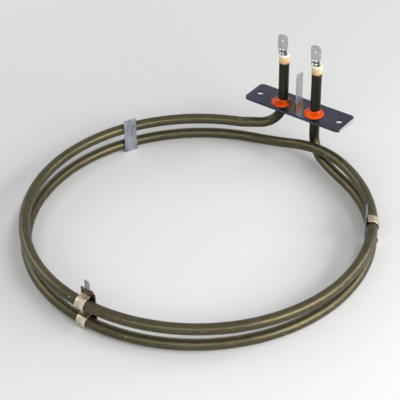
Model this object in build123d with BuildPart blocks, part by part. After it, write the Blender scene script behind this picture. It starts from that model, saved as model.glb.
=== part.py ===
from build123d import *
import math
import os

# Tubular heating element for a fan oven: one steel-sheathed tube bent into two turns round the
# fan, with its two ends turned up as legs through a mounting plate.
#
# The origin is the middle of the mounting plate, on its terminal side. +Z points along the legs
# to the terminals, X runs along the plate, and the coil's axis stands at Y = -coil_offset.
# An angle round the coil is counted from the plate, clockwise when seen from the terminals.

# --- coil -------------------------------------------------------------------------------------
coil_radius = 99.8  # coil axis to the sheath's centreline, on both turns
coil_offset = 105.7  # coil axis to the middle of the mounting plate
lower_turn_depth = 28.0  # plate's face down to the lower turn's centreline
turn_pitch = 10.7  # lower turn up to the upper one, on the coil's axis
upper_turn_lean = 0.73  # degrees by which the upper turn leans out of level
upper_turn_low_side = 53.0  # angle round the coil of the upper turn's lowest point

# --- sheath and its route ---------------------------------------------------------------------
sheath_diameter = 6.4
sheath_wall = 0.6
leg_spacing = 23.5
leg_height = 27.8  # plate's face up to the cut ends of the sheath
left_bend_radius = 15.0
right_bend_radius = 12.0
left_leg_heading = 30.0  # degrees off the plate's length at which the left leg leaves its bend
right_leg_heading = 32.0  # the same where the right leg enters its bend
left_leg_lift = 1.0  # how far above the upper turn the left leg's bend ends
right_leg_lift = 0.8  # how far above the lower turn the right leg's bend starts
upper_turn_start = -22.0  # angle round the coil where the left leg has joined the upper turn
crossover_start = 24.0  # where the upper turn starts to draw in
crossover_middle = 1.0  # halfway down the crossover
crossover_squeeze = 1.2  # how far the crossover draws in to pass the right leg
crossover_slope = 16.0  # degrees down, halfway
crossover_end = -20.0  # where it has reached the lower turn
lower_turn_end = 56.0  # where the lower turn starts towards the right leg
left_join_arm = 4.0  # tangent lengths that shape the bends between the turns and the legs
crossover_start_arm = 16.0
crossover_end_arm = 14.0
right_join_arm = 26.0

# --- inside the sheath's mouths ---------------------------------------------------------------
pin_diameter = 2.4
pin_depth = 4.0  # plate's face down to the pin's inner end
seal_length = 4.0

# --- terminals --------------------------------------------------------------------------------
bush_diameter = 6.6
bush_length = 5.7
bush_spigot_length = 3.0
bush_edge = 0.5
bush_clearance = 0.1  # radial, in the sheath's mouth and round the pin
pin_rise = 4.2  # bush's top up to the pin's end
pin_edge = 0.3
blade_width = 6.3
blade_thickness = 0.8
blade_rise = 13.7  # bush's top up to the blade's end
blade_foot_width = 5.2
blade_foot_length = 4.6
blade_foot_gap = 0.2  # bush's top up to the blade's foot
blade_corner = 1.1
blade_hole_diameter = 1.6
blade_hole_from_end = 4.1
blade_turn = 8.0  # degrees by which the blades are turned on their pins
blade_shift = 0.5  # how far the blades stand to the left of their pins' middles

# --- mounting plate ---------------------------------------------------------------------------
plate_length = 70.0
plate_width = 20.0
plate_thickness = 1.5
plate_corner = 3.5
fixing_hole_spacing = 58.0
fixing_hole_diameter = 4.3
leg_hole_clearance = 0.1  # radial, round the sheath
bead_diameter = 13.8
bead_height = 1.5
bead_edge = 0.9
bead_sag = 1.9  # how far the beads have slumped towards the coil's axis

# --- earth tab --------------------------------------------------------------------------------
earth_tab_width = 6.3
earth_tab_thickness = 0.8
earth_tab_height = 23.3
earth_tab_place = -0.8  # along the plate
earth_tab_middle = 0.9  # across the plate
earth_tab_corner = 1.2
earth_tab_base_width = 7.7
earth_tab_base_height = 4.5
earth_tenon_width = 4.0
earth_tenon_head = 0.5  # how far the staked tenon stands out below the plate
tenon_clearance = 0.05

# --- clips that hold the turns together -------------------------------------------------------
clip_thickness = 0.6
clip_clearance = 0.15  # between a clip and the sheath
clip_plate_width = 8.3
clip_plate_height = 23.0
clip_drop = 0.6  # clip plate's foot below the lower turn
hook_width = 6.0
hook_foot_length = 3.0
hook_shift = 1.5  # hooks off their plate's middle, towards greater angles
hook_wrap = 118.0  # degrees round the sheath, from its top outwards
hook_tail = 0.9
rear_clip_angle = -63.0
right_clip_angle = 59.2
front_clip_angle = 180.0
front_plate_width = 9.8
front_plate_shift = 0.6
front_plate_shoulder = 2.6
lug_width = 3.6
lug_height = 5.6
lug_shift = 0.9
lug_twist = -10.0

# --- sizes that follow ------------------------------------------------------------------------
sheath_radius = sheath_diameter / 2
bore_radius = sheath_radius - sheath_wall
pin_radius = pin_diameter / 2
leg_x = leg_spacing / 2
bush_top = leg_height + bush_length
seal_top = leg_height - bush_spigot_length
fill_top = seal_top - seal_length

lower_turn = Plane(origin=(0, -coil_offset, -lower_turn_depth))
low_side = math.radians(upper_turn_low_side)
lean = math.radians(upper_turn_lean)
upper_normal = Vector(
    math.sin(low_side) * math.sin(lean), math.cos(low_side) * math.sin(lean), math.cos(lean)
)
upper_turn = Plane(
    origin=(0, -coil_offset, turn_pitch - lower_turn_depth),
    x_dir=Vector(0, 1, 0).cross(upper_normal),
    z_dir=upper_normal,
)


def on_turn(turn, angle):
    """Point of a turn's centreline at an angle round the coil."""
    a = math.radians(angle)
    return turn.origin + turn.x_dir * coil_radius * math.sin(a) + turn.y_dir * coil_radius * math.cos(a)


def along_turn(turn, angle):
    """Direction of travel of a turn there, which is towards smaller angles."""
    a = math.radians(angle)
    return turn.y_dir * math.sin(a) - turn.x_dir * math.cos(a)


def easy_bend(start, start_way, end, end_way, arm):
    """Two tangent arcs that lead from one directed point to another.

    One arm runs forwards from the start and another backwards from the end. The gap between
    their tips is as long as both arms together, and the arcs meet where the arms divide it.
    """
    chord = end - start
    bend = 1 - start_way.dot(end_way)
    end_arm = (chord.dot(chord) / 2 - arm * chord.dot(start_way)) / (chord.dot(end_way) + arm * bend)
    start_tip = start + start_way * arm
    end_tip = end - end_way * end_arm
    middle = start_tip + (end_tip - start_tip) * (arm / (arm + end_arm))
    first = TangentArc(start, middle, tangent=start_way)
    TangentArc(middle, end, tangent=first % 1)


def element_route():
    """Centreline of the tube from one cut end to the other."""
    left_way = Vector(-1, 0, 0).rotate(Axis.Z, left_leg_heading)
    right_way = Vector(-1, 0, 0).rotate(Axis.Z, -right_leg_heading)
    left_level = on_turn(upper_turn, upper_turn_start).Z + left_leg_lift
    right_level = right_leg_lift - lower_turn_depth
    left_turn_in = Vector(-leg_x, 0, left_level + left_bend_radius)
    left_foot = Vector(-leg_x, 0, left_level) + left_way * left_bend_radius
    right_foot = Vector(leg_x, 0, right_level) - right_way * right_bend_radius
    right_turn_out = Vector(leg_x, 0, right_level + right_bend_radius)

    crossing = (on_turn(upper_turn, crossover_middle) + on_turn(lower_turn, crossover_middle)) / 2
    crossing += (lower_turn.origin - on_turn(lower_turn, crossover_middle)).normalized() * crossover_squeeze
    slope = math.radians(crossover_slope)
    crossing_way = along_turn(lower_turn, crossover_middle) * math.cos(slope)
    crossing_way -= Vector(0, 0, 1) * math.sin(slope)

    with BuildLine() as route:
        Line((-leg_x, 0, leg_height), left_turn_in)
        TangentArc(left_turn_in, left_foot, tangent=(0, 0, -1))
        easy_bend(
            left_foot,
            left_way,
            on_turn(upper_turn, upper_turn_start),
            along_turn(upper_turn, upper_turn_start),
            left_join_arm,
        )
        ThreePointArc(
            on_turn(upper_turn, upper_turn_start),
            on_turn(upper_turn, (upper_turn_start + crossover_start - 360) / 2),
            on_turn(upper_turn, crossover_start),
        )
        easy_bend(
            on_turn(upper_turn, crossover_start),
            along_turn(upper_turn, crossover_start),
            crossing,
            crossing_way,
            crossover_start_arm,
        )
        easy_bend(
            crossing,
            crossing_way,
            on_turn(lower_turn, crossover_end),
            along_turn(lower_turn, crossover_end),
            crossover_end_arm,
        )
        ThreePointArc(
            on_turn(lower_turn, crossover_end),
            on_turn(lower_turn, (crossover_end + lower_turn_end - 360) / 2),
            on_turn(lower_turn, lower_turn_end),
        )
        easy_bend(
            on_turn(lower_turn, lower_turn_end),
            along_turn(lower_turn, lower_turn_end),
            right_foot,
            right_way,
            right_join_arm,
        )
        TangentArc(right_foot, right_turn_out, tangent=right_way)
        Line(right_turn_out, (leg_x, 0, leg_height))
    return route.wire()


os.makedirs("parts", exist_ok=True)

# Sheath: one stainless tube, drawn down on the pressed magnesia and the resistance coil that it
# seals in, so it is solid between its mouths. A mouth is open down to the fill, and the fill is
# open for the pin.
with BuildSketch(Plane(origin=(-leg_x, 0, leg_height), z_dir=(0, 0, -1))) as sheath_section:
    Circle(sheath_radius)
with BuildPart() as sheath:
    sweep(sections=sheath_section.sketch, path=element_route())
    with Locations((-leg_x, 0, leg_height), (leg_x, 0, leg_height)):
        Hole(bore_radius, leg_height - fill_top)
        Hole(pin_radius, leg_height + pin_depth)
sheath.part.label = "sheath"
export_step(sheath.part, "parts/sheath.step")


def leg_pieces(side, x):
    """Pin, seal, bush and blade terminal of the leg at x."""
    # Terminal pin: plain rod that carries the current down to the resistance coil.
    with BuildPart() as pin:
        with BuildSketch(Plane(origin=(x, 0, -pin_depth))):
            Circle(pin_radius)
        extrude(amount=bush_top + pin_rise + pin_depth)
        chamfer(pin.edges().sort_by(Axis.Z)[-1], pin_edge)
    pin.part.label = f"{side}_terminal_pin"
    export_step(pin.part, f"parts/{side}_terminal_pin.step")

    # End seal: ring that closes the sheath's mouth above the fill.
    with BuildPart() as seal:
        with BuildSketch(Plane(origin=(x, 0, fill_top))):
            Circle(bore_radius)
            Circle(pin_radius, mode=Mode.SUBTRACT)
        extrude(amount=seal_length)
    seal.part.label = f"{side}_end_seal"
    export_step(seal.part, f"parts/{side}_end_seal.step")

    # Insulating bush: turned ceramic, with a spigot in the sheath's mouth and a head on its rim.
    with BuildPart() as bush:
        with BuildSketch(Plane(origin=(x, 0, seal_top))):
            Circle(bore_radius - bush_clearance)
        extrude(amount=bush_spigot_length)
        with BuildSketch(Plane(origin=(x, 0, leg_height))):
            Circle(bush_diameter / 2)
        extrude(amount=bush_length)
        chamfer(bush.faces().sort_by(Axis.Z)[-1].edges(), bush_edge)
        with Locations((x, 0, bush_top)):
            Hole(pin_radius + bush_clearance)
    bush.part.label = f"{side}_insulating_bush"
    export_step(bush.part, f"parts/{side}_insulating_bush.step")

    # Blade terminal: stamped tab welded to the side of the pin that faces the coil.
    blade_way = Vector(1, 0, 0).rotate(Axis.Z, blade_turn)
    blade_face = Vector(0, -1, 0).rotate(Axis.Z, blade_turn)
    blade_plane = Plane(
        origin=Vector(x, 0, bush_top) + blade_face * pin_radius - blade_way * blade_shift,
        x_dir=blade_way,
        z_dir=blade_face,
    )
    with BuildPart() as blade:
        with BuildSketch(blade_plane):
            with BuildLine():
                Polyline(
                    (-blade_foot_width / 2, blade_foot_gap),
                    (blade_foot_width / 2, blade_foot_gap),
                    (blade_foot_width / 2, blade_foot_length),
                    (blade_width / 2, blade_foot_length + (blade_width - blade_foot_width) / 2),
                    (blade_width / 2, blade_rise - blade_corner),
                    (blade_width / 2 - blade_corner, blade_rise),
                    (blade_corner - blade_width / 2, blade_rise),
                    (-blade_width / 2, blade_rise - blade_corner),
                    (-blade_width / 2, blade_foot_length + (blade_width - blade_foot_width) / 2),
                    (-blade_foot_width / 2, blade_foot_length),
                    close=True,
                )
            make_face()
            with Locations((0, blade_rise - blade_hole_from_end)):
                Circle(blade_hole_diameter / 2, mode=Mode.SUBTRACT)
        extrude(amount=blade_thickness)
    blade.part.label = f"{side}_blade_terminal"
    export_step(blade.part, f"parts/{side}_blade_terminal.step")


leg_pieces("left", -leg_x)
leg_pieces("right", leg_x)

# Mounting plate: blanked strip with two fixing holes, two leg holes and the earth tab's slot.
with BuildPart() as mounting_plate:
    with BuildSketch(Plane.XY.offset(-plate_thickness)):
        RectangleRounded(plate_length, plate_width, plate_corner)
        with GridLocations(fixing_hole_spacing, 0, 2, 1):
            Circle(fixing_hole_diameter / 2, mode=Mode.SUBTRACT)
        with GridLocations(leg_spacing, 0, 2, 1):
            Circle(sheath_radius + leg_hole_clearance, mode=Mode.SUBTRACT)
        with Locations((earth_tab_place, earth_tab_middle)):
            Rectangle(
                earth_tab_thickness + 2 * tenon_clearance,
                earth_tenon_width + 2 * tenon_clearance,
                mode=Mode.SUBTRACT,
            )
    extrude(amount=plate_thickness)
mounting_plate.part.label = "mounting_plate"
export_step(mounting_plate.part, "parts/mounting_plate.step")

# Seal beads: a blob of sealant round each leg, domed and slumped to one side.
for side, x in (("left", -leg_x), ("right", leg_x)):
    with BuildPart() as bead:
        with BuildSketch(Plane(origin=(x, -bead_sag, 0))):
            Circle(bead_diameter / 2)
        extrude(amount=bead_height)
        chamfer(bead.faces().sort_by(Axis.Z)[-1].edges(), bead_edge)
        with Locations((x, 0, bead_height)):
            Hole(sheath_radius)
    bead.part.label = f"{side}_seal_bead"
    export_step(bead.part, f"parts/{side}_seal_bead.step")

# Earth tab: stamped blade that stands across the plate, with its tenon staked through the slot.
with BuildPart() as earth_tab:
    tab_plane = Plane(
        origin=(earth_tab_place - earth_tab_thickness / 2, earth_tab_middle, 0),
        x_dir=(0, 1, 0),
        z_dir=(1, 0, 0),
    )
    with BuildSketch(tab_plane) as tab_outline:
        Rectangle(earth_tab_base_width, earth_tab_base_height, align=(Align.CENTER, Align.MIN))
        Rectangle(earth_tab_width, earth_tab_height, align=(Align.CENTER, Align.MIN))
        chamfer(tab_outline.vertices().group_by(Axis.Y)[-1], earth_tab_corner)
        Rectangle(
            earth_tenon_width,
            plate_thickness + earth_tenon_head,
            align=(Align.CENTER, Align.MAX),
        )
    extrude(amount=earth_tab_thickness)
earth_tab.part.label = "earth_tab"
export_step(earth_tab.part, "parts/earth_tab.step")


def clip_frame(angle):
    """Plane across the sheath at an angle round the coil: X outwards from the axis, Y up."""
    a = math.radians(angle)
    return Plane(
        origin=(0, -coil_offset, 0),
        x_dir=(math.sin(a), math.cos(a), 0),
        z_dir=(math.cos(a), -math.sin(a), 0),
    )


clip_face = coil_radius - sheath_radius - clip_clearance  # coil axis to a clip plate's outer face
clip_foot = -lower_turn_depth - sheath_radius - clip_drop


def clip_plate_plane(angle):
    """Plane of a clip plate's outer face, at its foot: X along the sheath, Y up, Z inwards."""
    a = math.radians(angle)
    return Plane(
        origin=Vector(clip_face * math.sin(a), clip_face * math.cos(a) - coil_offset, clip_foot),
        x_dir=(math.cos(a), -math.sin(a), 0),
        z_dir=(-math.sin(a), -math.cos(a), 0),
    )


# Clip plates on the rear and right of the coil: plain strips of stainless sheet.
for name, angle in (("rear_clip_plate", rear_clip_angle), ("right_clip_plate", right_clip_angle)):
    with BuildPart() as strip:
        with BuildSketch(clip_plate_plane(angle)):
            Rectangle(clip_plate_width, clip_plate_height, align=(Align.CENTER, Align.MIN))
        extrude(amount=clip_thickness)
    strip.part.label = name
    export_step(strip.part, f"parts/{name}.step")

# Clip plate opposite the mounting plate: wider, with a rounded shoulder and a twisted lug.
front_plane = clip_plate_plane(front_clip_angle)
with BuildPart() as front_clip_plate:
    with BuildSketch(front_plane) as front_outline:
        with Locations((front_plate_shift, 0)):
            Rectangle(front_plate_width, clip_plate_height, align=(Align.CENTER, Align.MIN))
        fillet(front_outline.vertices().group_by(Axis.Y)[-1].sort_by(Axis.X)[0], front_plate_shoulder)
    extrude(amount=clip_thickness)
    lug_base = Plane(
        origin=front_plane.origin
        + front_plane.x_dir * lug_shift
        + front_plane.y_dir * clip_plate_height
        + front_plane.z_dir * clip_thickness / 2,
        x_dir=front_plane.x_dir,
    )
    with BuildSketch(lug_base):
        Rectangle(lug_width, clip_thickness)
    with BuildSketch(lug_base.offset(lug_height).rotated((0, 0, lug_twist))):
        Rectangle(lug_width, clip_thickness)
    loft()
front_clip_plate.part.label = "front_clip_plate"
export_step(front_clip_plate.part, "parts/front_clip_plate.step")

# Clip hooks: two bent strips on each clip plate, welded on above each turn and hooked over it.
hook_radius = sheath_radius + clip_clearance + clip_thickness / 2
for name, angle in (
    ("rear_clip_hooks", rear_clip_angle),
    ("right_clip_hooks", right_clip_angle),
    ("front_clip_hooks", front_clip_angle),
):
    section = clip_frame(angle)
    wrap = math.radians(90 - hook_wrap)
    with BuildPart() as hooks:
        with BuildSketch(section.offset(hook_shift - hook_width / 2)):
            for turn in (lower_turn, upper_turn):
                level = on_turn(turn, angle).Z
                crown = level + hook_radius
                tip = Vector(coil_radius, level) + Vector(math.cos(wrap), math.sin(wrap)) * hook_radius
                with BuildLine() as bend:
                    Polyline(
                        (clip_face + clip_thickness / 2, crown + hook_foot_length),
                        (clip_face + clip_thickness / 2, crown),
                        (coil_radius, crown),
                    )
                    CenterArc((coil_radius, level), hook_radius, 90, -hook_wrap)
                    Line(tip, tip + Vector(math.sin(wrap), -math.cos(wrap)) * hook_tail)
                trace(bend.line, line_width=clip_thickness)
        extrude(amount=hook_width)
    hooks.part.label = name
    export_step(hooks.part, f"parts/{name}.step")
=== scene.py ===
import math

import bpy
import numpy as np
from mathutils import Matrix, Vector


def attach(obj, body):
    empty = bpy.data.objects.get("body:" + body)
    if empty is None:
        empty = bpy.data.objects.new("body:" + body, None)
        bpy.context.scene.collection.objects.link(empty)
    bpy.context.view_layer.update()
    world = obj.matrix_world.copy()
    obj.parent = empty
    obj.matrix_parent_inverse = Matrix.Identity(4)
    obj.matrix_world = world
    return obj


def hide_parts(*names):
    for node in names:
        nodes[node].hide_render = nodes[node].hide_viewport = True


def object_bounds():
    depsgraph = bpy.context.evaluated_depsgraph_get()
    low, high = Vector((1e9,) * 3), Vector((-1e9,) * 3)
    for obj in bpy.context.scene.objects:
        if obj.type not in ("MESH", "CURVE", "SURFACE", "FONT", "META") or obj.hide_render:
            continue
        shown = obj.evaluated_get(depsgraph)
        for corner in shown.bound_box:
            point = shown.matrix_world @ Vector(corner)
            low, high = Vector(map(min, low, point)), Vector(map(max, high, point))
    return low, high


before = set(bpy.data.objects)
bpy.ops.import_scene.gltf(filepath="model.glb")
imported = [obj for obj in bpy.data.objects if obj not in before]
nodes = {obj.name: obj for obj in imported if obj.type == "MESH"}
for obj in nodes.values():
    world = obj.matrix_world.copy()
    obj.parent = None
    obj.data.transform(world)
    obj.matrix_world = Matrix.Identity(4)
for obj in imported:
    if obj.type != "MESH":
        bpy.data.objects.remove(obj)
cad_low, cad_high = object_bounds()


# --- Camera -----------------------------------------------------------------------------------
# The element is seen from in front of it and to its right, with the coil's middle 38 degrees
# below the camera. The long lens keeps the two turns nearly parallel.
azimuth, elevation, roll = math.radians(37.27), math.radians(37.65), math.radians(-1.23)
camera_distance = 734.8

# Every size is in millimetres, in the frame's axes, and MM turns it into Blender's metres. The
# coil's axis is coil_offset in front of the legs, and its lower turn lower_turn_depth below the plate.
MM = 0.001
coil_offset, lower_turn_depth = 105.7, 28.0
coil_middle = Vector((0, -coil_offset, -lower_turn_depth)) * MM
towards_camera = Vector(
    (math.sin(azimuth) * math.cos(elevation), -math.cos(azimuth) * math.cos(elevation), math.sin(elevation))
)
camera = bpy.data.objects.new("camera", bpy.data.cameras.new("camera"))
camera.matrix_world = (
    Matrix.Translation(coil_middle + towards_camera * camera_distance * MM)
    @ (-towards_camera).to_track_quat("-Z", "Y").to_matrix().to_4x4()
    @ Matrix.Rotation(roll, 4, "Z")
)
camera.data.lens = 113.7
camera.data.shift_x, camera.data.shift_y = 0.0037, 0.068
bpy.context.collection.objects.link(camera)
bpy.context.scene.camera = camera
bpy.context.scene.view_settings.view_transform = "Standard"


# --- Floor and light --------------------------------------------------------------------------
# A pale painted table that the clips stand on. A wide softbox on the plate's right draws the long
# highlight on the tube, weaker ones stand behind the camera and on the left, a small one behind
# the terminals gives their edges a glint, and a dim white room fills the rest.
class Look:
    """A node material under way, with its Principled shader and its texture coordinates."""

    def __init__(self, name):
        self.material = bpy.data.materials.new(name)
        self.material.use_nodes = True
        self.tree = self.material.node_tree
        self.shader = self.tree.nodes["Principled BSDF"]
        coordinates = self.tree.nodes.new("ShaderNodeTexCoord")
        self.place, self.uv = coordinates.outputs["Object"], coordinates.outputs["UV"]

    def feed(self, target, **inputs):
        """Link sockets to a node's inputs, and set other values on them."""
        for key, value in inputs.items():
            socket = target.inputs[key.replace("_", " ")]
            if isinstance(value, bpy.types.NodeSocket):
                self.tree.links.new(value, socket)
            else:
                socket.default_value = value

    def node(self, kind, **inputs):
        """A new node with these inputs."""
        made = self.tree.nodes.new(kind)
        self.feed(made, **inputs)
        return made


def spread(look, value, low, high, to_low=0.0, to_high=1.0):
    """The value's range from low to high laid over another range, and held at its ends."""
    made = look.node("ShaderNodeMapRange", Value=value, From_Min=low, From_Max=high)
    look.feed(made, To_Min=to_low, To_Max=to_high)
    return made.outputs["Result"]


def distance_from(look, spot):
    """Distance in metres of each point from a spot that is given in millimetres."""
    apart = look.node("ShaderNodeVectorMath")
    apart.operation = "DISTANCE"
    look.tree.links.new(look.place, apart.inputs[0])
    apart.inputs[1].default_value = Vector(spot) * MM
    return apart.outputs["Value"]


def seen_directly(tree):
    """1 on rays from the camera and off glossy surfaces, 0 on those that only carry light."""
    path = tree.nodes.new("ShaderNodeLightPath")
    either = tree.nodes.new("ShaderNodeMath")
    either.operation = "MAXIMUM"
    tree.links.new(path.outputs["Is Camera Ray"], either.inputs[0])
    tree.links.new(path.outputs["Is Glossy Ray"], either.inputs[1])
    return either.outputs["Value"]


floor_size, floor_level = 6000, cad_low[2] / MM
half = floor_size / 2
corners = np.array([(-half, -half), (half, -half), (half, half), (-half, half)])
floor_mesh = bpy.data.meshes.new("floor")
floor_mesh.from_pydata(np.column_stack([corners, np.full(4, floor_level)]) * MM, [], [(0, 1, 2, 3)])
floor = bpy.data.objects.new("floor", floor_mesh)
bpy.context.collection.objects.link(floor)
paint = Look("floor_paint")
cloud = paint.node("ShaderNodeTexNoise", Vector=paint.place, Scale=3.0, Detail=3.0).outputs["Fac"]
paint.feed(paint.shader, Base_Color=spread(paint, cloud, 0.0, 1.0, 0.76, 0.80), Roughness=0.7)
floor_mesh.materials.append(paint.material)

# Seen directly or in a reflection, the floor fades far from the element into a pale backdrop, whose
# tone the room then has too. For all other rays it stays paint, in a dim room.
backdrop_tone, room_light, fade_near, fade_far = 0.78, 0.27, 150, 430
away = distance_from(paint, (0, -coil_offset, floor_level))
fade = spread(paint, away, fade_near * MM, fade_far * MM, 0.0, seen_directly(paint.tree))
backdrop = paint.node("ShaderNodeEmission", Strength=backdrop_tone)
blend = paint.node("ShaderNodeMixShader", Fac=fade)
paint.tree.links.new(paint.shader.outputs["BSDF"], blend.inputs[1])
paint.tree.links.new(backdrop.outputs["Emission"], blend.inputs[2])
paint.feed(paint.tree.nodes["Material Output"], Surface=blend.outputs["Shader"])

world = bpy.data.worlds.new("studio")
world.use_nodes = True
room = world.node_tree
room.nodes["Background"].inputs["Color"].default_value = (1, 1, 1, 1)
strength = room.nodes.new("ShaderNodeMapRange")
strength.inputs["To Min"].default_value = room_light
strength.inputs["To Max"].default_value = backdrop_tone
room.links.new(seen_directly(room), strength.inputs["Value"])
room.links.new(strength.outputs["Result"], room.nodes["Background"].inputs["Strength"])
bpy.context.scene.world = world

lamp_height = 450
for name, spot, width, power in (
    ("right", (800, -10, 390), 800, 8.4),
    ("front", (390, -950, 560), 1200, 4.0),
    ("left", (-900, -290, 480), 700, 2.6),
    ("behind", (560, 700, 420), 300, 3.0),
):
    lamp = bpy.data.objects.new(name, bpy.data.lights.new(name, "AREA"))
    lamp.data.shape, lamp.data.size, lamp.data.size_y = "RECTANGLE", width * MM, lamp_height * MM
    lamp.data.energy = power
    lamp.location = Vector(spot) * MM
    lamp.rotation_euler = (coil_middle - lamp.location).to_track_quat("-Z", "Y").to_euler()
    bpy.context.collection.objects.link(lamp)


# --- Sheath -----------------------------------------------------------------------------------
# One 6.4 mm stainless tube, drawn down on its magnesia fill and bent cold: a leg, the upper
# turn, a step down past the other leg, the lower turn and the second leg. Its first firing has
# tinted it olive and brown, and its tight bends are a little flattened.
coil_radius, turn_pitch = 99.8, 10.7
upper_turn_lean, upper_turn_low_side = math.radians(0.73), math.radians(53)
sheath_radius, bore_radius, mouth_depth = 3.2, 2.6, 7.0
bore_edge, rim_edge = 0.1, 0.2
leg_x, leg_height = 11.75, 27.8
left_bend_radius, right_bend_radius = 15.0, 12.0
left_leg_heading, right_leg_heading = math.radians(30), math.radians(32)
left_leg_lift, right_leg_lift = 1.0, 0.8

# Places round the coil are in degrees, clockwise from the plate. An arm is the length of the
# tangent that a bend between two of them starts with.
upper_turn_start, crossover_start, crossover_middle, crossover_end = -22, 24, 1, -20
crossover_squeeze, crossover_slope = 1.2, math.radians(16)
lower_turn_end = 56
left_join_arm, crossover_start_arm, crossover_end_arm, right_join_arm = 4.0, 16.0, 14.0, 26.0

# How finely the tube is drawn, the curvatures at which its bends flatten, and the waves on it.
point_spacing, angle_step, smallest_gap, ring_points = 1.2, 0.7, 0.05, 48
flattening, flattened_from, flattened_range = 0.6, 0.02, 0.1
wave_height, slow_wave, quick_wave = 0.012, 7.3, 3.1

upper_normal = np.array(
    [
        math.sin(upper_turn_low_side) * math.sin(upper_turn_lean),
        math.cos(upper_turn_low_side) * math.sin(upper_turn_lean),
        math.cos(upper_turn_lean),
    ]
)
upper_x = np.cross([0, 1, 0], upper_normal)
upper_x /= np.linalg.norm(upper_x)
upper_middle = np.array([0, -coil_offset, turn_pitch - lower_turn_depth])
lower_middle = np.array([0, -coil_offset, -lower_turn_depth])
upper_turn = (upper_middle, upper_x, np.cross(upper_normal, upper_x))
lower_turn = (lower_middle, np.array([1.0, 0, 0]), np.array([0, 1.0, 0]))


def on_turn(turn, angle):
    """Point of a turn's centreline at an angle round the coil, counted clockwise from the plate.

    It is the turn's middle + R sin(angle) its x-way + R cos(angle) its y-way.
    """
    a = np.radians(angle)
    middle, x_way, y_way = turn
    return middle + coil_radius * (np.multiply.outer(np.sin(a), x_way) + np.multiply.outer(np.cos(a), y_way))


def along_turn(turn, angle):
    """Direction in which the tube runs there, towards smaller angles."""
    a = math.radians(angle)
    middle, x_way, y_way = turn
    return y_way * math.sin(a) - x_way * math.cos(a)


def directed_point(turn, angle):
    """Point of a turn's centreline at an angle, and the tube's direction there."""
    return on_turn(turn, angle), along_turn(turn, angle)


def arc(start, way, end):
    """Points of the circular arc that leaves start along way and ends at end.

    Each is start + R sin(t) way + R (1 - cos(t)) side, where side is square to way and towards
    the end, t runs to twice the angle between way and the chord, and R is half the chord's
    length over that angle's sine.
    """
    chord = end - start
    side = chord - (chord @ way) * way
    offset = np.linalg.norm(side)
    turn = 2 * math.atan2(offset, chord @ way)
    radius = (chord @ chord) / (2 * offset)
    t = np.linspace(0, turn, max(4, int(radius * turn / point_spacing)))[1:, None]
    return start + radius * (np.sin(t) * way + (1 - np.cos(t)) * side / offset)


def easy_bend(start, start_way, end, end_way, arm):
    """Points of two tangent arcs between directed points, the first arm's length being arm.

    The second arm is so long that the gap between the arms' tips equals both arms together, and
    the arcs meet where the arms' lengths divide that gap.
    """
    chord = end - start
    end_arm = (chord @ chord / 2 - arm * (chord @ start_way)) / (
        chord @ end_way + arm * (1 - start_way @ end_way)
    )
    start_tip, end_tip = start + start_way * arm, end - end_way * end_arm
    middle = start_tip + (end_tip - start_tip) * arm / (arm + end_arm)
    middle_way = (end_tip - start_tip) / np.linalg.norm(end_tip - start_tip)
    return np.vstack([arc(start, start_way, middle), arc(middle, middle_way, end)])


def straight(start, end):
    """Points of a straight run, about point_spacing apart, without its start."""
    steps = max(2, int(np.linalg.norm(end - start) / point_spacing))
    return start + np.linspace(0, 1, steps)[1:, None] * (end - start)


down = np.array([0, 0, -1.0])
upper_start, upper_start_way = directed_point(upper_turn, upper_turn_start)
upper_end, upper_end_way = directed_point(upper_turn, crossover_start)
lower_start, lower_start_way = directed_point(lower_turn, crossover_end)
lower_end, lower_end_way = directed_point(lower_turn, lower_turn_end)
left_way = np.array([-math.cos(left_leg_heading), -math.sin(left_leg_heading), 0])
right_way = np.array([-math.cos(right_leg_heading), math.sin(right_leg_heading), 0])
left_top = np.array([-leg_x, 0, leg_height])
right_top = np.array([leg_x, 0, leg_height])
left_foot_level = upper_start[2] + left_leg_lift
right_foot_level = right_leg_lift - lower_turn_depth
left_bend_top = np.array([-leg_x, 0, left_foot_level + left_bend_radius])
left_foot = np.array([-leg_x, 0, left_foot_level]) + left_way * left_bend_radius
right_foot = np.array([leg_x, 0, right_foot_level]) - right_way * right_bend_radius
right_bend_top = np.array([leg_x, 0, right_foot_level + right_bend_radius])

# The tube crosses from turn to turn halfway between their levels, squeezed towards the coil's axis.
below, level_way = directed_point(lower_turn, crossover_middle)
crossing = (on_turn(upper_turn, crossover_middle) + below) / 2
crossing += (lower_middle - below) / coil_radius * crossover_squeeze
crossing_way = level_way * math.cos(crossover_slope) + down * math.sin(crossover_slope)
upper_angles = np.arange(upper_turn_start, crossover_start - 360, -angle_step)
lower_angles = np.arange(crossover_end, lower_turn_end - 360, -angle_step)
route = np.vstack(
    [
        left_top,
        straight(left_top, left_bend_top),
        arc(left_bend_top, down, left_foot),
        easy_bend(left_foot, left_way, upper_start, upper_start_way, left_join_arm),
        on_turn(upper_turn, upper_angles[1:]),
        upper_end,
        easy_bend(upper_end, upper_end_way, crossing, crossing_way, crossover_start_arm),
        easy_bend(crossing, crossing_way, lower_start, lower_start_way, crossover_end_arm),
        on_turn(lower_turn, lower_angles[1:]),
        lower_end,
        easy_bend(lower_end, lower_end_way, right_foot, right_way, right_join_arm),
        arc(right_foot, right_way, right_bend_top),
        straight(right_bend_top, right_top),
    ]
)


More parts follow.
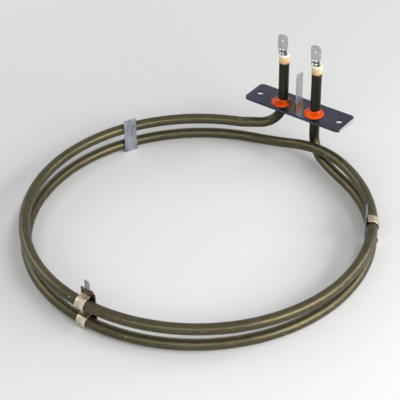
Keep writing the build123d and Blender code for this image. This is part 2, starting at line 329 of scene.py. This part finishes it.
def add_surface(name, rings, joined=False):
    """Closed mesh over a grid of points, as (rings, points in a ring, 3) in millimetres.

    Neighbouring points of neighbouring rings are joined by quads, and each ring's last point to
    its first. The last ring is joined to the first, or both are closed with a flat face. The UV
    map holds the way along the rings and the way round them, in millimetres.
    """
    count, size = rings.shape[:2]
    i, j = np.meshgrid(np.arange(count if joined else count - 1), np.arange(size), indexing="ij")
    later, following = (i + 1) % count, (j + 1) % size
    quads = np.stack([i * size + j, i * size + following, later * size + following, later * size + j], -1)
    faces = quads.reshape(-1, 4).tolist()
    if not joined:
        faces += [list(range(size))[::-1], list(range((count - 1) * size, count * size))]
    mesh = bpy.data.meshes.new(name)
    mesh.from_pydata(rings.reshape(-1, 3) * MM, [], faces)
    mesh.polygons.foreach_set("use_smooth", np.arange(len(faces)) < quads.size // 4)
    centres = rings.mean(axis=1)
    length = np.concatenate([[0], np.cumsum(np.linalg.norm(np.diff(centres, axis=0), axis=1))])
    girth = np.linalg.norm(rings - np.roll(rings, 1, axis=1), axis=2).sum(axis=1).mean() / size
    uv = np.zeros((len(mesh.loops), 2))
    uv[: quads.size, 0] = length[np.stack([i, i, later, later], -1)].ravel()
    uv[: quads.size, 1] = np.stack([j, j + 1, j + 1, j], -1).ravel() * girth
    mesh.uv_layers.new(name="along_and_round").uv.foreach_set("vector", uv.ravel())
    made = bpy.data.objects.new(name, mesh)
    bpy.context.collection.objects.link(made)
    return made


gaps = np.linalg.norm(np.diff(route, axis=0), axis=1)
route = route[np.concatenate([[True], gaps > smallest_gap])]
tangent = np.gradient(route, axis=0)
tangent /= np.linalg.norm(tangent, axis=1, keepdims=True)
spacing = np.linalg.norm(np.gradient(route, axis=0), axis=1, keepdims=True)
curvature = np.gradient(tangent, axis=0) / spacing

# Across-direction carried along the tube without twisting: each is the last one, made square.
across = np.empty_like(route)
across[0] = (1, 0, 0)
for k in range(1, len(route)):
    square = across[k - 1] - (across[k - 1] @ tangent[k]) * tangent[k]
    across[k] = square / np.linalg.norm(square)
second = np.cross(tangent, across)

# Surface: centre + r (cos(p) across + sin(p) second). r is the tube's radius, less a flattening
# that grows with the bend's tightness towards its inside and outside, and a slight drawn waviness.
p = np.linspace(0, 2 * math.pi, ring_points, endpoint=False)[None, :, None]
outward = np.cos(p) * across[:, None] + np.sin(p) * second[:, None]
bend = np.linalg.norm(curvature, axis=1)[:, None, None]
bend_side = (outward * (curvature / np.maximum(bend[:, :, 0], 1e-6))[:, None]).sum(-1, keepdims=True)
run = np.cumsum(spacing)[:, None, None]
waviness = wave_height * (np.sin(run / slow_wave) + np.sin(run / quick_wave + 2 * p) - 2)
tightness = np.clip(bend - flattened_from, 0, flattened_range)
r = sheath_radius * (1 - flattening * tightness * bend_side**2) + waviness
tube = route[:, None] + r * outward


def mouth(end, inward):
    """Rings of a cut end, from the bore out to the tube: bore wall, rim and its rounded edge."""
    shoulder = 0.3 * rim_edge
    rim = [bore_radius + bore_edge, sheath_radius - rim_edge, sheath_radius - shoulder]
    radii = np.array([bore_radius, bore_radius, *rim])
    depths = np.array([mouth_depth, bore_edge, 0, 0, shoulder])
    return route[end] + depths[:, None, None] * inward + radii[:, None, None] * outward[end]


sheath = add_surface("sheath_tube", np.concatenate([mouth(0, down), tube[1:-1], mouth(-1, down)[::-1]]))


def linear(red, green, blue):
    """Linear colour, with alpha, of an sRGB colour given as 0 to 255."""
    c = np.array([red, green, blue]) / 255
    return (*np.where(c <= 0.04045, c / 12.92, ((c + 0.055) / 1.055) ** 2.4), 1.0)


def noise(look, scale, place=None, stretch=(1, 1, 1), detail=4.0):
    """Noise in space, or at another place, whose cells are drawn out by the inverse of stretch."""
    mapped = look.node("ShaderNodeMapping", Vector=place or look.place, Scale=stretch).outputs["Vector"]
    texture = look.node("ShaderNodeTexNoise", Vector=mapped, Scale=scale, Detail=detail, Roughness=0.62)
    return texture.outputs["Fac"]


def reckon(look, operation, *values):
    """Result of a Math node's operation on numbers or sockets."""
    made = look.node("ShaderNodeMath")
    made.operation = operation
    for socket, value in zip(made.inputs, values):
        if isinstance(value, bpy.types.NodeSocket):
            look.tree.links.new(value, socket)
        else:
            socket.default_value = value
    return made.outputs["Value"]


def ramp(look, value, *stops):
    """Colour by value through two or more (value, sRGB colour) stops."""
    made = look.node("ShaderNodeValToRGB", Fac=value)
    elements = made.color_ramp.elements
    while len(elements) < len(stops):
        elements.new(0.5)
    for element, (spot, colour) in zip(elements, stops):
        element.position, element.color = spot, linear(*colour)
    return made.outputs["Color"]


def mix(look, amount, first, second, kind="MIX"):
    """Two colours, each a socket or an sRGB colour, mixed by a number or a socket.

    A Mix node's colours are its inputs 6 and 7 and its output 2.
    """
    made = look.node("ShaderNodeMix")
    made.data_type, made.blend_type = "RGBA", kind
    look.feed(made, Factor=amount)
    for socket, colour in ((made.inputs[6], first), (made.inputs[7], second)):
        if isinstance(colour, tuple):
            socket.default_value = linear(*colour)
        else:
            look.tree.links.new(colour, socket)
    return made.outputs[2]


# Olive oxide in slow drifts, over it green and red temper colours in patches a few mm long, and
# pale and dark drawing lines that run along the tube.
steel = Look("heat_tinted_steel")
drift = ramp(steel, noise(steel, 45.0), (0.3, (58, 60, 42)), (0.5, (77, 74, 55)), (0.7, (92, 84, 67)))
patches = noise(steel, 0.5, steel.uv, (0.5, 1, 1), 3.0)
temper = ramp(
    steel, patches, (0.34, (46, 76, 40)), (0.43, (73, 74, 49)), (0.57, (80, 71, 51)), (0.66, (122, 60, 47))
)
lines = noise(steel, 2.2, steel.uv, (0.1, 1, 1))
drawn = ramp(steel, lines, (0.36, (50, 48, 34)), (0.54, (81, 76, 54)), (0.72, (146, 134, 104)))
colour = mix(steel, 0.4, mix(steel, 0.45, drift, temper), drawn)

# The legs are painted a darker brown as shade, which fades out down their bends. The way
# along the tube starts in the left mouth, and ends in the right one.
left_dark_to, left_fade, right_dark_to, right_fade, leg_shade_strength = 43, 13, 50, 14, 0.9
tube_way = steel.node("ShaderNodeSeparateXYZ", Vector=steel.uv).outputs["X"]
tube_end = float(run[-1, 0, 0]) + 2 * mouth_depth
right_dark_from = tube_end - right_dark_to
left_dark = spread(steel, tube_way, left_dark_to + left_fade, left_dark_to, 0.0, leg_shade_strength)
right_dark = spread(steel, tube_way, right_dark_from - right_fade, right_dark_from, 0.0, leg_shade_strength)
# Painted shade on the legs: a darker brown.
leg_shade_tone = ramp(steel, noise(steel, 90.0), (0.3, (30, 29, 24)), (0.7, (48, 45, 35)))
colour = mix(steel, reckon(steel, "MAXIMUM", left_dark, right_dark), colour, leg_shade_tone)

# Scratches down to bright steel: the cores of scattered cells, drawn out along the tube.
scratch_core, scratch_edge = 0.03, 0.055
cell_place = steel.node("ShaderNodeMapping", Vector=steel.uv, Scale=(0.5, 1, 1)).outputs["Vector"]
cells = steel.node("ShaderNodeTexVoronoi", Vector=cell_place, Scale=0.16).outputs["Distance"]
colour = mix(steel, spread(steel, cells, scratch_edge, scratch_core, 0.0, 0.8), colour, (214, 208, 188))
relief = steel.node("ShaderNodeBump", Height=noise(steel, 1800.0), Strength=0.1, Distance=0.0002)
steel.feed(
    steel.shader,
    Base_Color=colour,
    Metallic=0.75,
    Roughness=spread(steel, lines, 0.3, 0.7, 0.27, 0.42),
    Normal=relief.outputs["Normal"],
)
sheath.data.materials.append(steel.material)
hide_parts("sheath")
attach(sheath, "root")


# --- Mounting plate ---------------------------------------------------------------------------
# Cut from 1.5 mm steel strip and tumbled, so that its edges are soft. Brazing round the legs has
# greyed it and browned it by the earth tab, and it still mirrors the tab. Its faint violet is
# painted: a reflection of a blue surround.
def metal(name, dark, light, roughness, scale, edge, grain=(1, 1, 1)):
    """A satin metal: two tones, uneven gloss with a grain a ninth as large, edges rounded over edge mm."""
    look = Look(name)
    tone = ramp(look, noise(look, scale), (0.3, dark), (0.7, light))
    fine = noise(look, scale * 9, None, grain)
    soft_edge = look.node("ShaderNodeBevel", Radius=edge * MM).outputs["Normal"]
    relief = look.node("ShaderNodeBump", Height=fine, Strength=0.05, Distance=0.0002, Normal=soft_edge)
    gloss = spread(look, fine, 0.3, 0.7, roughness * 0.8, roughness * 1.25)
    look.feed(look.shader, Base_Color=tone, Metallic=1.0, Roughness=gloss, Normal=relief.outputs["Normal"])
    return look


def tint(look, amount, colour):
    """Lay a colour, a socket or an sRGB one, over the look's base colour by a number or a socket."""
    below = look.shader.inputs["Base Color"].links[0].from_socket
    look.feed(look.shader, Base_Color=mix(look, amount, below, colour))


def nearness(look, spot, near, far):
    """1 within near mm of a spot, falling to 0 at far mm from it."""
    return spread(look, distance_from(look, spot), far * MM, near * MM)


rolled_roughness, sheared_roughness = 0.27, 0.45
# The violet in these two tones is a painted reflection of a blue surround.
greyed = metal("greyed_steel", (60, 62, 76), (78, 80, 96), rolled_roughness, scale=70.0, edge=0.45)
tint(greyed, spread(greyed, noise(greyed, 110.0), 0.5, 0.72, 0.0, 0.5), (86, 74, 68))
brown_spot, brown_core, brown_reach = (-1, -2, 0), 2, 9
tint(greyed, nearness(greyed, brown_spot, brown_core, brown_reach), (96, 76, 64))

# The two ends are sheared and rougher than the strip's rolled faces and sides, and carry a painted
# highlight: a near-white tint.
rolled_to, sheared_from = 34.3, 34.7
end_way = greyed.node("ShaderNodeSeparateXYZ", Vector=greyed.place).outputs["X"]
sheared_ends_and_highlight = spread(greyed, reckon(greyed, "ABSOLUTE", end_way), rolled_to * MM, sheared_from * MM)
# Painted highlight on the sheared ends.
tint(greyed, sheared_ends_and_highlight, (196, 196, 200))
gloss = spread(greyed, sheared_ends_and_highlight, 0.0, 1.0, rolled_roughness, sheared_roughness)
greyed.feed(greyed.shader, Roughness=gloss)
nodes["mounting_plate"].material_slots[0].material = greyed.material


# --- Seal beads -------------------------------------------------------------------------------
# A ring of orange sealant run round each leg where it leaves the plate. It was laid by hand, so
# its edge wanders, it has slumped towards the coil and it creeps up the steel. The left one is
# scorched brown on the side of the earth tab.
bead_radius, bead_height, bead_sag, bead_lap = 6.7, 1.45, 1.9, 0.05
edge_mean, slow_wander, quick_wander, height_wander = 0.97, 0.018, 0.012, 0.12
dome_power, creep_start, creep_height = 2.2, 0.8, 0.9
around = np.linspace(0, 2 * math.pi, 96, endpoint=False)[None, :]
inwards = np.linspace(0, 1, 28)[:, None]
sealant = Look("orange_sealant")
streaks = noise(sealant, 260.0, detail=3.0)
orange = ramp(sealant, streaks, (0.3, (184, 52, 0)), (0.5, (214, 72, 0)), (0.72, (246, 104, 0)))
scorch_spot, scorch_core, scorch_reach = (-6.6, 0.4, 0.8), 1.8, 4.0
scorch = nearness(sealant, scorch_spot, scorch_core, scorch_reach)
dimples = sealant.node("ShaderNodeBump", Height=streaks, Strength=0.3, Distance=0.0004)
sealant.feed(
    sealant.shader,
    Base_Color=mix(sealant, scorch, orange, (78, 30, 12)),
    Roughness=0.16,
    Specular_IOR_Level=0.25,
    Normal=dimples.outputs["Normal"],
)
for side, x, phase in (("left", -leg_x, 0.4), ("right", leg_x, 2.6)):
    # Edge radius about the leg: a circle set off by the slump, times a mean and two waves. From
    # edge to leg the height is nearly a quarter-round dome, with a meniscus that climbs the steel
    # as the square of the way into it. The last row comes back down the steel to the plate.
    edge = -bead_sag * np.sin(around) + np.sqrt(bead_radius**2 - (bead_sag * np.cos(around)) ** 2)
    wander = slow_wander * np.sin(2 * around + phase) + quick_wander * np.sin(5 * around + 3 * phase)
    edge = edge * (edge_mean + wander)
    distance = edge + (sheath_radius - bead_lap - edge) * inwards
    dome = bead_height * np.sqrt(1 - (1 - inwards) ** dome_power)
    creep = creep_height * (np.maximum(inwards - creep_start, 0) / (1 - creep_start)) ** 2
    lift = dome * (1 + height_wander * np.sin(3 * around + phase)) + creep
    distance, lift = np.vstack([distance, distance[-1:]]), np.vstack([lift, 0 * lift[-1:]])
    rings = np.stack([x + distance * np.cos(around), distance * np.sin(around), lift], -1)
    bead = add_surface(f"{side}_bead", rings, joined=True)
    bead.data.materials.append(sealant.material)
    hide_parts(f"{side}_seal_bead")
    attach(bead, "root")


# --- Insulating bushes ------------------------------------------------------------------------
# Pressed and fired steatite: a spigot in the sheath's mouth, a straight head with a rounded rim,
# and a slightly dished top round the pin. The body is cream, darker towards the head's foot, with
# a near-white painted highlight at the rim.
bush_radius, bush_length, rim_round, rim_land, foot_chamfer = 3.3, 5.7, 0.75, 0.2, 0.25
spigot_radius, spigot_length, seat_gap, dish_depth = 2.5, 3.0, 0.02, 0.25
pin_radius, bush_clearance = 1.2, 0.1
bush_top = leg_height + bush_length

# Profile of radii r and levels z from the spigot's foot up and back down the bore, turned about
# the leg's middle line: each point is (x + r cos(ring), r sin(ring), z).
quarter = np.linspace(0, math.pi / 2, 9)
rim_r = bush_radius - rim_round + rim_round * np.cos(quarter)
rim_z = bush_top - rim_round + rim_round * np.sin(quarter)
dish_r = np.linspace(rim_r[-1] - rim_land, pin_radius + bush_clearance, 6)
dish_z = bush_top - dish_depth * np.sin(np.linspace(0, math.pi / 2, 6))
spigot_foot, head_foot = leg_height - spigot_length, leg_height + seat_gap
foot_r = [spigot_radius, spigot_radius, bush_radius - foot_chamfer, bush_radius]
foot_z = [spigot_foot, head_foot, head_foot, head_foot + foot_chamfer]
profile_r = np.concatenate([foot_r, rim_r, dish_r, dish_r[-1:]])
profile_z = np.concatenate([foot_z, rim_z, dish_z, [spigot_foot]])
steatite = Look("fired_steatite")
speckle = noise(steatite, 900.0, detail=3.0)
height = steatite.node("ShaderNodeSeparateXYZ", Vector=steatite.place).outputs["Z"]
rise = spread(steatite, height, leg_height * MM, bush_top * MM)
# Painted light by height: darker towards the head's foot, a near-white painted highlight at the rim.
body_tones_with_painted_light = ((0.0, (204, 160, 118)), (0.2, (228, 192, 150)), (0.8, (235, 204, 166)), (0.9, (252, 247, 237)))
body = ramp(steatite, rise, *body_tones_with_painted_light)
pores = ramp(steatite, speckle, (0.3, (230, 218, 200)), (0.6, (255, 255, 255)))
pitted = steatite.node("ShaderNodeBump", Height=speckle, Strength=0.15, Distance=0.0002)
steatite.feed(
    steatite.shader,
    Base_Color=mix(steatite, 0.6, body, pores, "MULTIPLY"),
    Roughness=0.38,
    Subsurface_Weight=0.1,
    Subsurface_Scale=0.001,
    Normal=pitted.outputs["Normal"],
)
ring = np.linspace(0, 2 * math.pi, 64, endpoint=False)[None, :]
for side, x in (("left", -leg_x), ("right", leg_x)):
    r = profile_r[:, None]
    rings = np.stack([x + r * np.cos(ring), r * np.sin(ring), profile_z[:, None] + 0 * ring], -1)
    bush = add_surface(f"{side}_bush", rings, joined=True)
    bush.data.materials.append(steatite.material)
    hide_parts(f"{side}_insulating_bush")
    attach(bush, "root")


# --- Terminal pins and end seals --------------------------------------------------------------
# Plain steel pins that come up through the bushes, and the resin rings that close the sheath's
# mouths round them. The seals are out of sight under the bushes.
drawn_steel = metal("drawn_pin_steel", (128, 124, 118), (158, 154, 146), 0.35, scale=300.0, edge=0.1)
resin = Look("seal_resin")
resin_tone = ramp(resin, noise(resin, 500.0, detail=2.0), (0.3, (176, 84, 34)), (0.7, (206, 110, 52)))
resin.feed(resin.shader, Base_Color=resin_tone, Roughness=0.5)
for side in ("left", "right"):
    nodes[f"{side}_terminal_pin"].material_slots[0].material = drawn_steel.material
    nodes[f"{side}_end_seal"].material_slots[0].material = resin.material


# --- Blades -----------------------------------------------------------------------------------
# Stamped 6.3 mm tabs, nickel plated and bright. The two blades are resistance welded to the pins
# with four small projections each, and the earth tab is staked through the plate.
def nickel(name, dark, light):
    """Bright nickel plate over a sheet whose rolling grain runs up the blade."""
    return metal(name, dark, light, 0.14, scale=240.0, edge=0.35, grain=(1, 1, 0.08))


# The blades are darker towards their feet, and the earth tab's foot is browned as a painted reflection of
# the plate under it.
foot_dark_to, foot_dark_end = 3.2, 4.4
blade_nickel = nickel("bright_nickel", (172, 174, 176), (202, 202, 200))
height = blade_nickel.node("ShaderNodeSeparateXYZ", Vector=blade_nickel.place).outputs["Z"]
foot_darkening = spread(blade_nickel, height, (bush_top + foot_dark_end) * MM, (bush_top + foot_dark_to) * MM)
foot_dark_patches = spread(blade_nickel, noise(blade_nickel, 900.0, detail=3.0), 0.35, 0.6, 0.55, 0.95)
# The blades' feet are darker, in patches.
tint(blade_nickel, reckon(blade_nickel, "MULTIPLY", foot_darkening, foot_dark_patches), (66, 64, 60))
for side in ("left", "right"):
    nodes[f"{side}_blade_terminal"].material_slots[0].material = blade_nickel.material
tab_spot, tab_core, tab_reach, tab_reflection_strength = (-0.8, 0.9, 0), 3, 6, 0.8
tab_nickel = nickel("tab_nickel", (160, 164, 168), (188, 190, 190))
# Painted reflection: the tab's foot takes the plate's brown tone, as if mirroring it.
tab_foot_reflection = nearness(tab_nickel, tab_spot, tab_core, tab_reach)
tint(tab_nickel, spread(tab_nickel, tab_foot_reflection, 0.0, 1.0, 0.0, tab_reflection_strength), (150, 124, 100))
nodes["earth_tab"].material_slots[0].material = tab_nickel.material

blade_turn, blade_thickness = math.radians(8), 0.8
weld_radius, weld_height, weld_columns, weld_rows = 0.78, 0.3, 2.1, 2.4
weld_level, weld_shift = 2.3, 1.1
blade_way = np.array([math.cos(blade_turn), math.sin(blade_turn), 0])
blade_face = np.array([math.sin(blade_turn), -math.cos(blade_turn), 0])
spin = np.linspace(0, 2 * math.pi, 24, endpoint=False)[None, :, None]
lean = np.linspace(0, math.pi / 2, 9)[:-1, None, None]
disc = np.cos(spin) * blade_way + np.sin(spin) * np.array([0, 0, 1.0])
# The weld nuggets are painted nearly white, brighter than the nickel, as painted highlights.
nugget = metal("weld_nugget", (230, 228, 222), (250, 249, 244), 0.3, scale=900.0, edge=0.05)
for side, x in (("left", -leg_x), ("right", leg_x)):
    middle = np.array([x, 0, bush_top + weld_level])
    middle = middle + blade_face * (pin_radius + blade_thickness) - blade_way * weld_shift
    for place, across_way, up_way in (("a", -1, -1), ("b", 1, -1), ("c", -1, 1), ("d", 1, 1)):
        # A low dome: radius cos(lean) in the blade's plane, height sin(lean) off its face.
        spot = middle + weld_columns / 2 * across_way * blade_way + np.array([0, 0, weld_rows / 2 * up_way])
        rings = spot + weld_radius * np.cos(lean) * disc + weld_height * np.sin(lean) * blade_face
        weld = add_surface(f"{side}_blade_weld_{place}", rings)
        weld.data.materials.append(nugget.material)
        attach(weld, "root")


# --- Clips ------------------------------------------------------------------------------------
# Strips of 0.6 mm stainless sheet: a back plate inside the coil with two hooks spot welded to it,
# which are ribbed across their crowns and bent over the turns. They are brighter than the tube,
# and the clip opposite the plate has a rounded shoulder, a twisted lug and a brown heat tint.
clip_thickness, clip_clearance, clip_edge = 0.6, 0.15, 0.14
plate_height, plate_drop, plate_corner = 23.0, 0.6, 0.3
clip_half_width, front_half_width = 4.15, 4.9
hook_width, hook_foot, hook_shift, hook_tail = 6.0, 3.0, 1.5, 0.9
hook_wrap, foot_bend = math.radians(118), 0.7
rib_height, rib_pitch, rib_count = 0.15, 1.15, 3
front_shoulder, front_shift = 2.6, 0.6
lug_width, lug_height, lug_root, lug_shift, lug_twist = 3.6, 5.6, 0.6, 0.9, math.radians(-10)
plate_face = coil_radius - sheath_radius - clip_clearance
foot_face = plate_face + clip_thickness / 2
plate_foot = -lower_turn_depth - sheath_radius - plate_drop
hook_radius = sheath_radius + clip_clearance + clip_thickness / 2


def rounded_section(left, right, thickness, edge):
    """Loop of (across, through) points round a flat bar whose corners are rounded by edge.

    Each corner is a quarter circle of five points: corner centre + edge (cos, sin) of its angle.
    """
    inner_left, inner_right, inner_face = left + edge, right - edge, thickness / 2 - edge
    corners = (
        (inner_right, inner_face, 0),
        (inner_left, inner_face, 90),
        (inner_left, -inner_face, 180),
        (inner_right, -inner_face, 270),
    )
    loop = []
    for across_way, through_way, first in corners:
        angle = np.radians(first + np.linspace(0, 90, 5))
        loop.append(np.stack([across_way + edge * np.cos(angle), through_way + edge * np.sin(angle)], -1))
    return np.concatenate(loop)


def bar(name, centres, across_ways, through_ways, sections, look):
    """A flat bar: each ring is its centre + a across-way + b through-way over the section's (a, b).

    The across-way, the through-way and the way along the bar are right-handed.
    """
    a, b = sections[:, :, :1], sections[:, :, 1:]
    made = add_surface(name, centres[:, None] + a * across_ways[:, None] + b * through_ways[:, None])
    made.data.materials.append(look.material)
    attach(made, "root")
    return made


def brushed_clip(name, dark, light, stain_from, stain_to):
    """Clip steel brushed along the strip, with brown heat stains where a noise is high."""
    look = metal(name, dark, light, 0.27, scale=160.0, edge=0.1, grain=(1, 1, 0.1))
    strokes = noise(look, 1.6, look.uv, (0.05, 1, 1), 2.0)
    tint(look, 0.85, ramp(look, strokes, (0.36, dark), (0.64, light)))
    stain = spread(look, noise(look, 210.0, detail=5.0), stain_from, stain_to, 0.0, 0.85)
    tint(look, stain, (98, 74, 58))
    return look


# The plate steel's faint blue cast is a painted reflection of a blue surround.
plate_steel = brushed_clip("clip_plate_steel", (140, 143, 154), (184, 186, 194), 0.62, 0.76)
hook_steel = brushed_clip("clip_hook_steel", (172, 160, 142), (240, 228, 208), 0.66, 0.8)
tinted_steel = brushed_clip("tinted_clip_steel", (150, 138, 130), (186, 174, 164), 0.4, 0.62)

# The grooves on both sides of the hooks' ribs are painted dark as shade, and their feet are browned,
# partly a heat tint and partly painted shade. A groove is darkest at a whole pitch past the foot,
# fades as the cosine of the way in pitches, and there are none past the last rib.
strip_way = hook_steel.node("ShaderNodeSeparateXYZ", Vector=hook_steel.uv).outputs["X"]
pitches = reckon(hook_steel, "DIVIDE", reckon(hook_steel, "SUBTRACT", strip_way, hook_foot), rib_pitch)
wave = reckon(hook_steel, "COSINE", reckon(hook_steel, "MULTIPLY", pitches, 2 * math.pi))
ribbed = reckon(hook_steel, "LESS_THAN", pitches, rib_count)
groove_shade = reckon(hook_steel, "MULTIPLY", spread(hook_steel, wave, 0.0, 1.0, 0.0, 0.75), ribbed)
tint(hook_steel, groove_shade, (104, 88, 72))
# Feet: a brown tint that is partly heat tint and partly painted shade.
tint(hook_steel, spread(hook_steel, pitches, 0.0, -0.5, 0.0, 0.8), (110, 84, 62))

# Levels of a back plate's rings: two at its foot, some up its sides, and some that crowd towards
# its top, where the corners are.
plate_top = plate_foot + plate_height
side_levels = np.linspace(plate_foot + 0.4, plate_top - front_shoulder - 0.1, 14)
top_levels = plate_top - front_shoulder * (1 - np.sin(np.linspace(0.05, 0.5 * math.pi, 14)))
levels = np.concatenate([[plate_foot, plate_foot + 0.1], side_levels, top_levels])


def drawn_in(radius):
    """How far a rounded top corner draws a back plate's side in, at each level.

    It is R - sqrt(R^2 - d^2) at a height of d above the corner's centre, and nothing below that.
    """
    above = np.maximum(levels - plate_top + radius, 0)
    return radius - np.sqrt(np.maximum(radius**2 - above**2, 0))


def hook_line(level):
    """Middle line of a hook over a turn at this level, as (out, up) points, and its normals.

    It runs down the foot, round a small bend, out over the crown, round the tube and off at a
    tangent. The ribs lift it along its normal by rib_height sin^2(pi s), where s is the way past
    the foot in rib pitches.
    """
    crown = level + hook_radius
    bend_angle = np.linspace(0, math.pi / 2, 7)
    wrap_angle = np.linspace(math.pi / 2, math.pi / 2 - hook_wrap, 40)
    foot = np.stack([np.full(8, foot_face), np.linspace(crown + hook_foot, crown + foot_bend, 8)], -1)
    elbow_turn = np.stack([np.cos(bend_angle), np.sin(bend_angle)], -1)
    elbow = np.array([foot_face, crown]) + foot_bend * (1 - elbow_turn)
    wrap_turn = np.stack([np.cos(wrap_angle), np.sin(wrap_angle)], -1)
    wrap = np.array([coil_radius, level]) + hook_radius * wrap_turn
    flat = np.linspace(elbow[-1], wrap[0], 26)[1:-1]
    tail_way = np.array([math.sin(wrap_angle[-1]), -math.cos(wrap_angle[-1])])
    tail = wrap[-1] + np.linspace(0, hook_tail, 4)[1:, None] * tail_way
    line = np.concatenate([foot, elbow[1:], flat, wrap, tail])
    way = np.gradient(line, axis=0)
    way /= np.linalg.norm(way, axis=1, keepdims=True)
    normal = np.stack([-way[:, 1], way[:, 0]], -1)
    along = np.concatenate([[0], np.cumsum(np.linalg.norm(np.diff(line, axis=0), axis=1))])
    s = (along - hook_foot) / rib_pitch
    ribs = np.where((s > 0) & (s < rib_count), rib_height * np.sin(math.pi * s) ** 2, 0)
    return line + normal * ribs[:, None], normal


up = np.array([0, 0, 1.0])
coil_axis = np.array([0, -coil_offset, 0])
hook_section = rounded_section(-hook_width / 2, hook_width / 2, clip_thickness, clip_edge)
for clip, angle, half_width, shift, shoulder, look in (
    ("rear", -63.0, clip_half_width, 0, plate_corner, plate_steel),
    ("right", 59.2, clip_half_width, 0, plate_corner, plate_steel),
    ("front", 180.0, front_half_width, front_shift, front_shoulder, tinted_steel),
):
    heading = math.radians(angle)
    outwards = np.array([math.sin(heading), math.cos(heading), 0])
    onwards = np.array([math.cos(heading), -math.sin(heading), 0])

    # Back plate: rings up from its foot, with the sides drawn in near the top.
    lefts, rights = shift - half_width + drawn_in(shoulder), shift + half_width - drawn_in(plate_corner)
    sections = np.stack([rounded_section(l, r, clip_thickness, clip_edge) for l, r in zip(lefts, rights)])
    plate_middle = coil_axis + outwards * (plate_face - clip_thickness / 2)
    centres = plate_middle + levels[:, None] * up
    across_ways, through_ways = np.tile(onwards, (len(levels), 1)), np.tile(outwards, (len(levels), 1))
    plate = bar(f"{clip}_back_plate", centres, across_ways, through_ways, sections, look)
    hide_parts(f"{clip}_clip_plate")

    # Hooks: one strip over each turn, set off from the plate's middle.
    for turn_name, turn in (("upper", upper_turn), ("lower", lower_turn)):
        line, normal = hook_line(on_turn(turn, angle)[2])
        centres = coil_axis + line[:, :1] * outwards + line[:, 1:] * up + hook_shift * onwards
        backwards = np.tile(-onwards, (len(line), 1))
        through = normal[:, :1] * outwards + normal[:, 1:] * up
        sections = np.tile(hook_section, (len(line), 1, 1))
        hook = bar(f"{clip}_{turn_name}_hook", centres, backwards, through, sections, hook_steel)
        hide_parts(f"{clip}_clip_hooks")

# Lug of the front clip, the last one in the loop: a strip that starts lug_root inside its back
# plate, rises from the plate's top and turns by lug_twist in step with its height.
rise = np.linspace(-lug_root, lug_height, 16)
twist = lug_twist * np.clip(rise / lug_height, 0, 1)
lug_across = np.stack([np.cos(twist), np.sin(twist), 0 * twist], -1)
lug_centres = plate_middle + onwards * lug_shift + (plate_top + rise)[:, None] * up
lug_section = rounded_section(-lug_width / 2, lug_width / 2, clip_thickness, clip_edge)
lug_sections = np.tile(lug_section, (len(rise), 1, 1))
lug = bar("front_lug", lug_centres, lug_across, np.cross(up, lug_across), lug_sections, plate_steel)
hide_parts("front_clip_plate")
